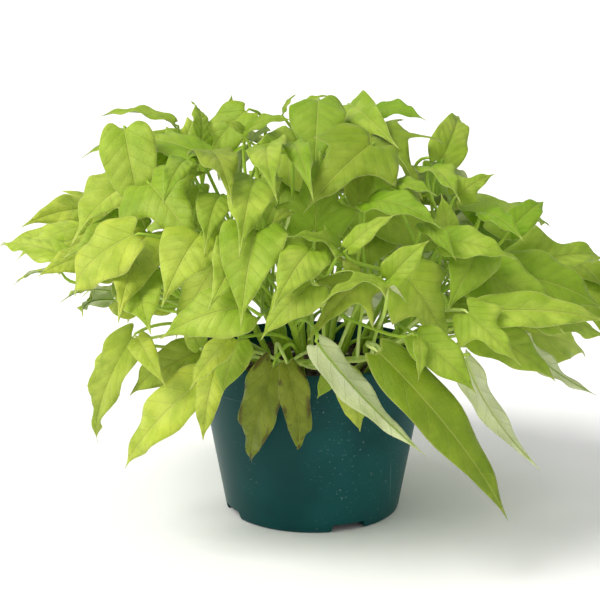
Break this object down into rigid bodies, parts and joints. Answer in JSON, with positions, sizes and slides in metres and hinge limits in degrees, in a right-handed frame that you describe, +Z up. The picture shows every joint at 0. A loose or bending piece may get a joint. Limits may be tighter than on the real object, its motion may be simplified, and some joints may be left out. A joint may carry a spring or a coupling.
{
  "type": "sweet potato vine",
  "caption": "Bushy sweet potato vine with drooping heart, lobed and lance-shaped chartreuse leaves, growing in a round dark green nursery pot.",
  "frame": {"origin": "centre of the pot's underside, on the floor it stands on", "axes": "+Z up, -Y towards the side that the picture shows, +X to the viewer's right"},
  "size_m": [0.3965, 0.3663, 0.2742],
  "materials": {
    "pot": "matt moulded plastic",
    "soil": "loose, matt",
    "vine": "satin leaf"
  },
  "bodies": {
    "root": {"pot": "pot", "soil": "soil", "vine_01": "vine", "vine_02": "vine", "vine_03": "vine", "vine_04": "vine", "vine_05": "vine", "vine_06": "vine", "vine_07": "vine", "vine_08": "vine", "vine_09": "vine", "vine_10": "vine", "vine_11": "vine", "vine_12": "vine", "vine_13": "vine", "vine_14": "vine", "vine_15": "vine", "vine_16": "vine", "vine_17": "vine", "vine_18": "vine", "vine_19": "vine", "vine_20": "vine"}
  },
  "joints": []
}
